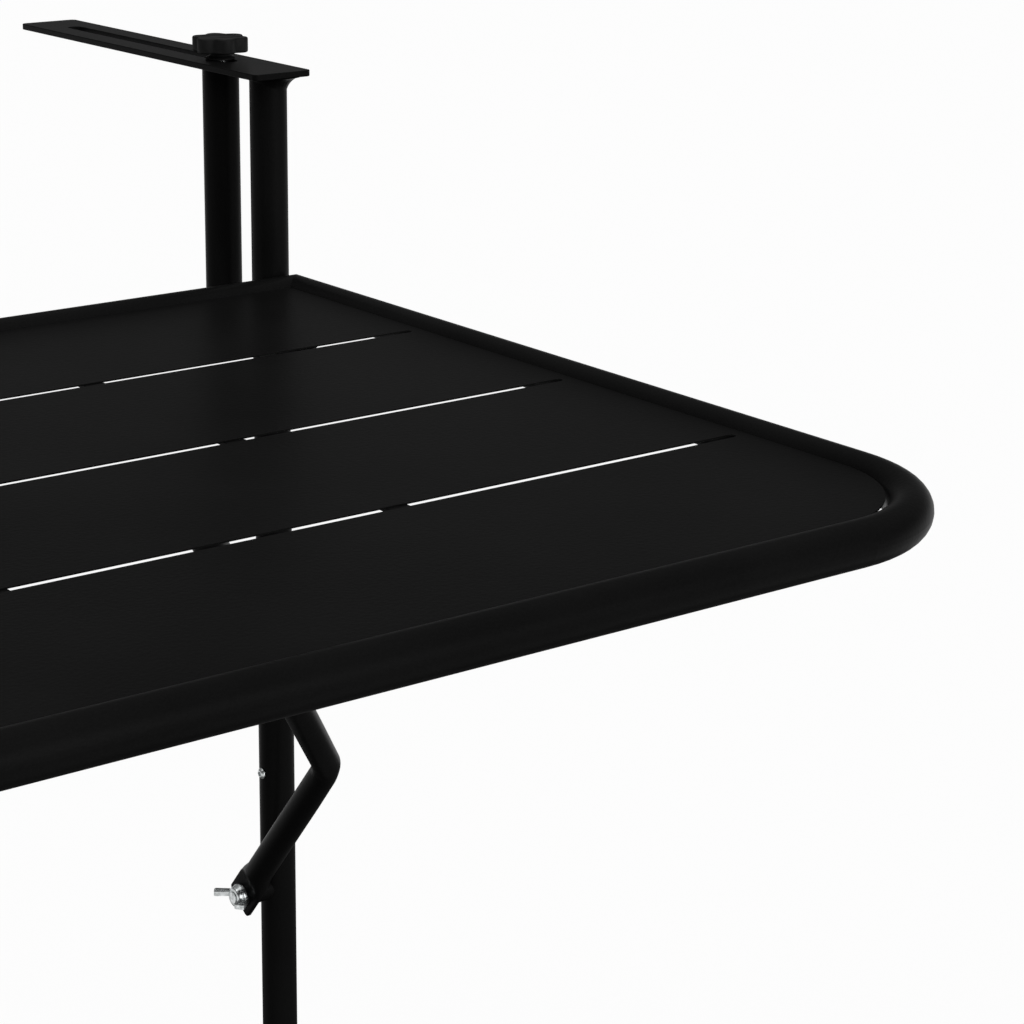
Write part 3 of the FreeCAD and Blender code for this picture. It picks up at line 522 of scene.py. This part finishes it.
# %% Star knob sizes
LOBES, LOBE_RADIUS, LOBE_CENTRE, CORE_RADIUS = 6, 4.1, 7.8, 9.3
STAR_REACH, STAR_POINTS, VALLEY_PASSES = 11.9, 144, 6
NECK_HEIGHT, GRIP_HEIGHT, RIM_ROUND = 3.1, 6.3, 0.7
DISH_RIM, DISH_SLOPE, DISH_DEPTH = 1.6, 0.5, 0.3
NECK_RADIUS, FLANGE_RADIUS, FLANGE_HEIGHT = 4.5, 6.3, 0.9
KNOB_TURN = math.radians(-17)
knob_seat = corners_of("right_star_knob")[0].z
print("knob seat at", round(knob_seat, 2), "mm, turned", round(math.degrees(KNOB_TURN)), "degrees")


# %% Star knobs
def lobed_radius(angle):
    # Angle from the nearest lobe's middle line
    pitch = math.tau / LOBES
    off = (angle + pitch / 2) % pitch - pitch / 2
    under = LOBE_RADIUS ** 2 - (LOBE_CENTRE * math.sin(off)) ** 2
    return max(CORE_RADIUS, LOBE_CENTRE * math.cos(off) + math.sqrt(max(under, 0.0)))


def star_ring(bm):
    ring = new_ring(bm, 1.0, STAR_POINTS)
    for v in ring:
        angle = math.atan2(v.co.y, v.co.x)
        v.co = v.co.normalized() * lobed_radius(angle - math.radians(90))
    for step in range(VALLEY_PASSES):
        bmesh.ops.smooth_vert(bm, verts=ring, factor=0.5, use_axis_x=True, use_axis_y=True)
    share = STAR_REACH / max(v.co.length for v in ring)
    bmesh.ops.scale(bm, verts=ring, vec=(share, share, 1))
    return ring


def add_grip(bm):
    ring = star_ring(bm)
    bmesh.ops.translate(bm, verts=ring, vec=(0, 0, NECK_HEIGHT))
    bottom = bmesh.ops.contextual_create(bm, geom=edges_of(ring))["faces"][0]
    top = bmesh.ops.extrude_face_region(bm, geom=[bottom])["geom"]
    lifted = [g for g in top if isinstance(g, bmesh.types.BMVert)]
    bmesh.ops.translate(bm, verts=lifted, vec=(0, 0, GRIP_HEIGHT))
    rims = [e for e in bm.edges if abs(e.verts[0].co.z - e.verts[1].co.z) < NEAR]
    bmesh.ops.bevel(bm, geom=rims, offset=RIM_ROUND, segments=4, profile=0.5, affect="EDGES", material=-1)
    bmesh.ops.recalc_face_normals(bm, faces=bm.faces)
    near_top = NECK_HEIGHT + GRIP_HEIGHT - 0.1
    cap = max(bm.faces, key=lambda f: (f.calc_center_median().z > near_top) * f.calc_area())
    bmesh.ops.inset_region(bm, faces=[cap], thickness=DISH_RIM, depth=0.0)
    bmesh.ops.inset_region(bm, faces=[cap], thickness=DISH_SLOPE, depth=-DISH_DEPTH)


def add_neck(bm):
    turned(bm, [
        (0, 0), (FLANGE_RADIUS - 0.2, 0), (FLANGE_RADIUS, 0.2), (FLANGE_RADIUS, FLANGE_HEIGHT - 0.3),
        (FLANGE_RADIUS - 0.3, FLANGE_HEIGHT), (NECK_RADIUS + 0.4, FLANGE_HEIGHT + 0.2),
        (NECK_RADIUS, FLANGE_HEIGHT + 0.6), (NECK_RADIUS, NECK_HEIGHT - 0.6),
        (NECK_RADIUS + 0.4, NECK_HEIGHT), (NECK_RADIUS + 0.4, NECK_HEIGHT + 0.5), (0, NECK_HEIGHT + 0.5),
    ])


def make_knob(side_name, side):
    bm = bmesh.new()
    add_grip(bm)
    add_neck(bm)
    place = on_side(side, knob.x, knob.y, knob_seat) @ Matrix.Rotation(side * KNOB_TURN, 4, "Z")
    finish_piece(bm, f"{side_name}_knob_star", f"{side_name}_knob", "black_plastic",
                 f"{side_name}_star_knob", place, crease=40)


for side_name, side in SIDES.items():
    make_knob(side_name, side)

# %% [markdown]
# ## Wing nuts
# The wing nuts are cast in zinc. The round body tapers from its seat, and from it two wings
# stand out at a slant, with a pressed hollow in each face and a thick rim round it, so that
# they are light and good to grip.
# The wings could be drawn out of the body's own faces, but a cast wing keeps its thickness down
# to its root. So the body is an outline spun round the bolt, and each wing starts as a block
# whose faces are inset twice, for the rim and the hollow, and whose tip is bevelled.

# %% Wing nut sizes
NUT_HEIGHT, NUT_BASE, NUT_TOP, NUT_BORE = 3.6, 5.3, 4.5, 2.55
WING_SPREAD = math.radians(52)
WING_ROOT, WING_FOOT, WING_LENGTH, WING_WIDE, WING_THICK = 6.0, 2.1, 6.5, 4.5, 2.0
WING_INNER, WING_TAPER = -2.4, 0.8
WING_RIM, HOLLOW_SLOPE, HOLLOW_DEPTH, TIP_ROUND = 0.75, 0.3, 0.5, 0.9
print("wings", WING_LENGTH - WING_INNER, "mm long, spread", round(math.degrees(WING_SPREAD)), "degrees")


# %% Wing nuts
def add_wing(bm):
    # The wing is made flat along X, with its root a little narrower than its tip
    made = bmesh.ops.create_cube(bm, size=1.0)["verts"]
    length = WING_LENGTH - WING_INNER
    bmesh.ops.scale(bm, verts=made, vec=(length, WING_THICK, WING_WIDE))
    bmesh.ops.translate(bm, verts=made, vec=(WING_INNER + length / 2, 0, 0))
    for v in made:
        if v.co.x < 0:
            v.co.z *= WING_TAPER
    faces = list({f for v in made for f in v.link_faces})
    broad = [f for f in faces if abs(f.normal.y) > 0.9]
    at_tip = [e for e in {e for f in faces for e in f.edges} if middle_of(e.verts).x > WING_LENGTH - 0.1]
    tip = [e for e in at_tip if abs(e.verts[0].co.y - e.verts[1].co.y) > 1]
    for face in broad:
        bmesh.ops.inset_region(bm, faces=[face], thickness=WING_RIM, depth=0.0)
        bmesh.ops.inset_region(bm, faces=[face], thickness=HOLLOW_SLOPE, depth=-HOLLOW_DEPTH)
    bmesh.ops.bevel(bm, geom=tip, offset=TIP_ROUND, segments=4, profile=0.5, affect="EDGES", material=-1)


def add_leaning_wing(bm, turn):
    # The finished wing is tilted from the seat, turned round the bolt and joined to the body
    wing = bmesh.new()
    add_wing(wing)
    bmesh.ops.recalc_face_normals(wing, faces=wing.faces)
    lean = Matrix.Translation((WING_ROOT, 0, WING_FOOT)) @ Matrix.Rotation(-WING_SPREAD, 4, "Y")
    bmesh.ops.transform(wing, matrix=Matrix.Rotation(turn, 4, "Z") @ lean, verts=wing.verts)
    part = bpy.data.meshes.new("wing")
    wing.to_mesh(part)
    wing.free()
    bm.from_mesh(part)
    bpy.data.meshes.remove(part)


def make_wing_nut(side_name, side):
    bm = bmesh.new()
    turned(bm, [
        (NUT_BORE, 0.0), (NUT_BASE - 0.15, 0.0), (NUT_BASE, 0.15), (NUT_BASE, 0.7), (NUT_BASE - 0.2, 1.0),
        (NUT_TOP + 0.15, 2.6), (NUT_TOP, 3.0), (NUT_TOP - 0.25, 3.35), (NUT_TOP - 0.6, NUT_HEIGHT - 0.05),
        (NUT_TOP - 0.9, NUT_HEIGHT), (NUT_BORE + 0.2, NUT_HEIGHT), (NUT_BORE, NUT_HEIGHT - 0.2),
    ])
    for turn in (0.0, math.pi):
        add_leaning_wing(bm, turn)
    towards_middle = Matrix.Rotation(math.radians(-90 * side), 4, "Y")
    wings_level = Matrix.Rotation(math.radians(90), 4, "Z")
    place = on_side(side, pivot.x, pivot.y, pivot.z) @ towards_middle @ wings_level
    finish_piece(bm, f"{side_name}_wing_nut_cast", f"{side_name}_wing", "zinc_plated_steel",
                 f"{side_name}_wing_nut", place)


for side_name, side in SIDES.items():
    make_wing_nut(side_name, side)

# %% [markdown]
# ## Welds under the hook plates
# Each post is welded to its plate by a bead that runs all the way round, full on the outer
# front side, where the torch has room, and thin towards the rear leg. The bead is hollow in
# section, and its solidified drops leave fine ripples, which the powder coat softens.
# A plain ring would be the same all round. So a hollow outline is spun round the post, and its
# points are drawn in and out by a fine wave for the drops and a slow one for the hand.

# %% Weld sizes
WELD_HEIGHT, WELD_REACH, WELD_HOLLOW = 4.2, 4.8, 6.0
WELD_STEPS, ARC_STEPS = 180, 10
DROPS, DROP_SLANT, DROP_DEPTH = 30, 1.2, 0.04
SLOW_WAVES, SLOW_DEPTH = 7, 0.05
BEAD_SINK, EDGE_KEPT = 0.12, 0.15
BEAD_MEAN, BEAD_SWING, FULL_SIDE = 0.8, 0.55, Vector((0.79, -0.61))
print("weld bead from", round(BEAD_MEAN - BEAD_SWING, 2), "to", BEAD_MEAN + BEAD_SWING, "of its size")


# %% Welds under the hook plates
def bead_outline():
    # A hollow arc from the post's wall up to the plate, closed in the corner between them
    chord = Vector((WELD_REACH, WELD_HEIGHT))
    foot = Vector((post_radius, -WELD_HEIGHT))
    sag = math.sqrt(WELD_HOLLOW ** 2 - (chord.length / 2) ** 2)
    centre = foot + chord / 2 + Vector((chord.y, -chord.x)).normalized() * sag
    low = foot - centre
    high = foot + chord - centre
    first, last = math.atan2(low.y, low.x), math.atan2(high.y, high.x)
    if last > first:
        last -= math.tau
    arc = [first + (last - first) * i / ARC_STEPS for i in range(ARC_STEPS + 1)]
    outline = [(centre.x + WELD_HOLLOW * math.cos(a), centre.y + WELD_HOLLOW * math.sin(a)) for a in arc]
    return outline + [(post_radius, 0)]


def add_ripples(v):
    # Only the bead's free face moves; its edges on the post and on the plate stay
    out = v.co.xy.length
    if out < post_radius + EDGE_KEPT or v.co.z > -EDGE_KEPT:
        return
    angle = math.atan2(v.co.y, v.co.x)
    wave = DROP_DEPTH * math.sin(DROPS * angle + DROP_SLANT * v.co.z)
    wave += SLOW_DEPTH * math.sin(SLOW_WAVES * angle + 1)
    middle = math.sin(math.pi * (out - post_radius) / WELD_REACH)
    v.co.xy *= 1 - (BEAD_SINK - wave) * middle / out


def make_weld(side_name, side):
    bm = bmesh.new()
    turned(bm, bead_outline(), WELD_STEPS)
    bmesh.ops.remove_doubles(bm, verts=bm.verts, dist=MERGE)
    for v in bm.verts:
        add_ripples(v)
        out = v.co.xy.length
        towards = (side * v.co.x * FULL_SIDE.x + v.co.y * FULL_SIDE.y) / out
        full = BEAD_MEAN + BEAD_SWING * towards
        v.co.xy *= (post_radius + (out - post_radius) * full) / out
        v.co.z *= full
    finish_piece(bm, f"{side_name}_weld_bead", "root", "black_powder_coat",
                 f"{side_name}_hook_weld", on_side(side, knob.x, pivot.y, 0), crease=60)


for side_name, side in SIDES.items():
    make_weld(side_name, side)

# %% [markdown]
# ## Screws on the posts
# One small screw on each post's inner face pins the sleeve. It has a domed head with a hexagon
# socket for the key.
# A boolean cut would leave ragged faces round so small a socket. So the whole screw is one
# outline spun round its axis, and the socket's rings are pushed from round to hexagonal.

# %% Heads with a socket
EDGE_BREAK, SOCKET_RIM, SOCKET_STEP = 0.12, 0.15, 0.06
DOME_STEPS, DRILL_POINT = 8, 1.2


def dome_outline(radius, brim, height, socket, depth):
    # A domed head from its seat's edge up, and down to the point at the socket's bottom
    outline = [(radius - EDGE_BREAK, 0), (radius, EDGE_BREAK), (radius, brim)]
    rise = height - brim
    dome = (radius ** 2 + rise ** 2) / (2 * rise)
    rim = socket + SOCKET_RIM
    for step in range(1, DOME_STEPS + 1):
        out = radius - (radius - rim) * step / DOME_STEPS
        outline.append((out, height - dome + math.sqrt(dome ** 2 - out ** 2)))
    top = outline[-1][1]
    wall = socket - SOCKET_STEP
    outline += [(socket, top), (wall, top - EDGE_BREAK), (wall, top - depth)]
    return outline + [(0, top - depth * DRILL_POINT)]


def push_to_hexagon(bm, socket):
    # Moves only the rings inside the socket, above the head's seat
    for v in bm.verts:
        if NEAR < v.co.xy.length < socket + NEAR and v.co.z > -NEAR:
            off = math.atan2(v.co.y, v.co.x) % math.radians(60) - math.radians(30)
            v.co.xy *= math.cos(math.radians(30)) / math.cos(off)


# %% Screws on the posts
HEAD_RADIUS, HEAD_HEIGHT, HEAD_BRIM, SHANK_RADIUS, SHANK_DEPTH, SHANK_POINT = 2.5, 1.6, 0.4, 1.75, 3.8, 0.3
KEY_SIZE, KEY_DEPTH, SCREW_TURN = 1.15, 0.9, math.radians(27)
screw_low, screw_high = corners_of("right_sleeve_screw")


def make_screw(side_name, side):
    bm = bmesh.new()
    shank = [(0, -SHANK_DEPTH), (SHANK_RADIUS - SHANK_POINT, -SHANK_DEPTH),
             (SHANK_RADIUS, -SHANK_DEPTH + SHANK_POINT), (SHANK_RADIUS, 0)]
    turned(bm, shank + dome_outline(HEAD_RADIUS, HEAD_BRIM, HEAD_HEIGHT, KEY_SIZE, KEY_DEPTH))
    push_to_hexagon(bm, KEY_SIZE)
    towards_middle = Matrix.Rotation(math.radians(-90 * side), 4, "Y")
    place = on_side(side, knob.x - post_radius, pivot.y, (screw_low.z + screw_high.z) / 2)
    finish_piece(bm, f"{side_name}_socket_screw", "root", "zinc_plated_steel",
                 f"{side_name}_sleeve_screw", place @ towards_middle @ Matrix.Rotation(SCREW_TURN, 4, "Z"),
                 crease=40)


for side_name, side in SIDES.items():
    make_screw(side_name, side)

# %% [markdown]
# ## Hinge bolts
# The tabletop folds on two button-headed bolts. The head has a hexagon socket for the key, and
# the threaded end just shows beyond its lock nut.
# A real thread is a helix. Here it is hidden but for its last turns, so plain grooves in the
# same spun outline do.

# %% Hinge bolts
BUTTON_RADIUS, BUTTON_HEIGHT, BUTTON_BRIM, BOLT_RADIUS = 5.25, 3.3, 1.1, 3.0
SOCKET_CORNER, SOCKET_DEPTH = 2.31, 1.9
THREAD_STEPS, THREAD_STEP, THREAD_DEPTH, BOLT_POINT = 14, 0.5, 0.45, 0.7
bolt_end = corners_of("right_hinge_bolt")[0].x
head_seat = corners_of("right_hinge_bolt")[1].x - BUTTON_HEIGHT
print("hinge bolt", round(head_seat - bolt_end, 1), "mm long under its head")


def make_hinge_bolt(side_name, side):
    bm = bmesh.new()
    length = head_seat - bolt_end
    outline = [(0, -length), (BOLT_RADIUS - BOLT_POINT, -length)]
    for step in range(THREAD_STEPS):
        groove = 0.0 if step % 2 else THREAD_DEPTH
        outline.append((BOLT_RADIUS - groove, (step + 1) * THREAD_STEP - length))
    outline.append((BOLT_RADIUS, 0))
    outline += dome_outline(BUTTON_RADIUS, BUTTON_BRIM, BUTTON_HEIGHT, SOCKET_CORNER, SOCKET_DEPTH)
    turned(bm, outline)
    push_to_hexagon(bm, SOCKET_CORNER)
    outwards = Matrix.Rotation(math.radians(90 * side), 4, "Y")
    finish_piece(bm, f"{side_name}_socket_bolt", "root", "zinc_plated_steel", f"{side_name}_hinge_bolt",
                 on_side(side, head_seat, hinge.y, hinge.z) @ outwards, crease=30)


for side_name, side in SIDES.items():
    make_hinge_bolt(side_name, side)

# %% [markdown]
# ## Sheet metal and turned parts
# The plates, brackets, lugs, saddles and strips are cut and folded steel. A cut edge is broken
# by a few tenths of a millimetre before coating, and the coat rounds it further, so each edge
# catches a thin line of light. Their shapes are right in the solid model, so they could stay, but
# only with knife edges. So each part is a softened copy. The table gives its new name, the body
# that it rides on, and the width of its edge in millimetres.

# %% Sheet metal and turned parts
SIDE_PARTS = (
    ("hook_plate", "hook_plate_edged", "root", 0.3),
    ("brace_seat", "brace_saddle", "tabletop", 0.35),
    ("hinge_bracket", "hinge_fork", "root", 0.35),
    ("hinge_lug", "hinge_tongue", "tabletop", 0.35),
    ("hinge_nut", "hinge_nut_cut", "root", 0.35),
    ("brace_washer", "pivot_washer", "root", 0.15),
    ("brace_spacer", "pivot_spacer", "root", 0.25),
    ("support_strip", "strip_edged", "tabletop", 0.25),
)
for side_name in SIDES:
    for part, copy, body, edge in SIDE_PARTS:
        softened(f"{side_name}_{part}", f"{side_name}_{copy}", body, edge)
softened("centre_support_strip", "centre_strip_edged", "tabletop", 0.25)

# %% [markdown]
# ## Sheet
# The tabletop's sheet is stamped, and its two front corners follow the rim closely, so that only
# a narrow gap is left there. It is a softened copy like the others, and its corner points are
# moved from the plain arc of the solid sheet to a tighter one before its edges are bevelled.

# %% Sheet
PLAIN_CORNER, CLOSE_CORNER = 52.0 * MM, 49.5 * MM
ON_THE_ARC = 0.98 * PLAIN_CORNER
sheet_low, sheet_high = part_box("slatted_panel")


def draw_corners_out(bm):
    for v in bm.verts:
        for side in SIDES.values():
            edge = sheet_high.x * side
            plain = Vector((edge - side * PLAIN_CORNER, sheet_low.y + PLAIN_CORNER))
            close = Vector((edge - side * CLOSE_CORNER, sheet_low.y + CLOSE_CORNER))
            out = v.co.xy - plain
            if out.x * side > 0 and out.y < 0 and out.length > ON_THE_ARC:
                v.co.xy = close + out.normalized() * CLOSE_CORNER


softened("slatted_panel", "stamped_sheet", "tabletop", 0.12, reshape=draw_corners_out)

# %% [markdown]
# ## Studio
# A plain white floor lies under the posts' feet. To the camera the floor and the room are white.
# To all other rays the room is a soft grey, lighter overhead and at the horizon, so the black
# coat stays black. What the pieces mirror of the floor is white too, apart from a round dark
# patch under the table's right half, which keeps the undersides of the tubes dark.
# A brighter lamp would turn the floor white too, but the black coat would then look grey. So the
# floor is nearly all light of its own and a little white paint, which still takes the table's
# soft shadow. Anything seen through glass would be as white as what the camera sees.

# %% Floor
FLOOR_HALF, FLOOR_GAP = 12, 0.5 * MM
DARK_RADIUS, DARK_EDGE = 750 * MM, 300 * MM
OWN_LIGHT = 0.88
floor_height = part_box("right_post_foot")[0].z
dark_centre = (600 * MM, 200 * MM, floor_height)

floor_mesh = bmesh.new()
bmesh.ops.create_grid(floor_mesh, x_segments=1, y_segments=1, size=FLOOR_HALF)
bmesh.ops.translate(floor_mesh, verts=floor_mesh.verts, vec=(0, 0, floor_height - FLOOR_GAP))
floor_data = bpy.data.meshes.new("floor")
floor_mesh.to_mesh(floor_data)
floor_mesh.free()
floor = bpy.data.objects.new("floor", floor_data)
bpy.context.scene.collection.objects.link(floor)
print("floor at", round(floor_height - FLOOR_GAP, 4), "m")

# %% White floor finish
white_floor, tree = new_material("white_floor")
ray = add(tree, "LightPath").outputs
place = add(tree, "TexCoord").outputs["Object"]
away = add(tree, "VectorMath", {"operation": "DISTANCE"}, i0=place, i1=dark_centre).outputs["Value"]
far = add(tree, "MapRange", Value=away, From_Min=DARK_RADIUS, From_Max=DARK_RADIUS + DARK_EDGE)
mirrored = add(tree, "Math", {"operation": "MULTIPLY"}, i0=far.outputs[0], i1=ray["Is Glossy Ray"])
direct = add(tree, "Math", {"operation": "MAXIMUM"}, i0=ray["Is Camera Ray"], i1=ray["Is Transmission Ray"])
seen = add(tree, "Math", {"operation": "MAXIMUM"}, i0=mirrored.outputs[0], i1=direct.outputs[0])
share = add(tree, "Math", {"operation": "MULTIPLY"}, i0=seen.outputs[0], i1=OWN_LIGHT)
shade = add(tree, "MixRGB", Fac=seen.outputs[0], Color1=linear("#6e6e6e"), Color2=linear("#ffffff"))
paint = add(tree, "BsdfDiffuse", Color=shade.outputs[0], Roughness=0.0)
light = add(tree, "Emission", Color=linear("#ffffff"), Strength=1.0)
mixed = add(tree, "MixShader", i0=share.outputs[0], i1=paint.outputs[0], i2=light.outputs[0])
add(tree, "OutputMaterial", Surface=mixed.outputs[0])
floor_data.materials.append(white_floor)
print("white_floor has", len(tree.nodes), "nodes")

# %% Room
HEIGHT_SHADES = ((0.05, "#b4b4b4"), (0.17, "#606060"), (0.40, "#606060"), (0.62, "#a8a8a8"))
room = bpy.data.worlds.new("white_room")
bpy.context.scene.world = room
room.use_nodes = True
tree = room.node_tree
tree.nodes.clear()
direction = add(tree, "TexCoord").outputs["Generated"]
height = add(tree, "SeparateXYZ", Vector=direction).outputs["Z"]
walls = add(tree, "ValToRGB", stops=HEIGHT_SHADES, Fac=height)
walls.color_ramp.interpolation = "EASE"
ray = add(tree, "LightPath").outputs
seen = add(tree, "Math", {"operation": "MAXIMUM"}, i0=ray["Is Camera Ray"], i1=ray["Is Transmission Ray"])
shade = add(tree, "MixRGB", Fac=seen.outputs[0], Color1=walls.outputs[0], Color2=linear("#ffffff"))
background = add(tree, "Background", Color=shade.outputs[0], Strength=1.0)
add(tree, "OutputWorld", Surface=background.outputs[0])
print("white_room has", len(tree.nodes), "nodes")


# %% Lamps
def add_sky_lamp(name, comes_from, wide, power):
    # A lamp without end, so that the floor is lit evenly; its wide angle softens the shadows
    lamp = bpy.data.lights.new(name, "SUN")
    lamp.angle = math.radians(wide)
    lamp.energy = power
    lamp_object = bpy.data.objects.new(name, lamp)
    lamp_object.rotation_euler = Vector(comes_from).to_track_quat("Z", "Y").to_euler()
    bpy.context.scene.collection.objects.link(lamp_object)
    print(name, "from", comes_from, "power", power)


add_sky_lamp("top_lamp", (-0.35, -0.25, 1.0), 70, 1.3)
add_sky_lamp("front_lamp", (0.2, -1.0, 0.25), 50, 1.6)
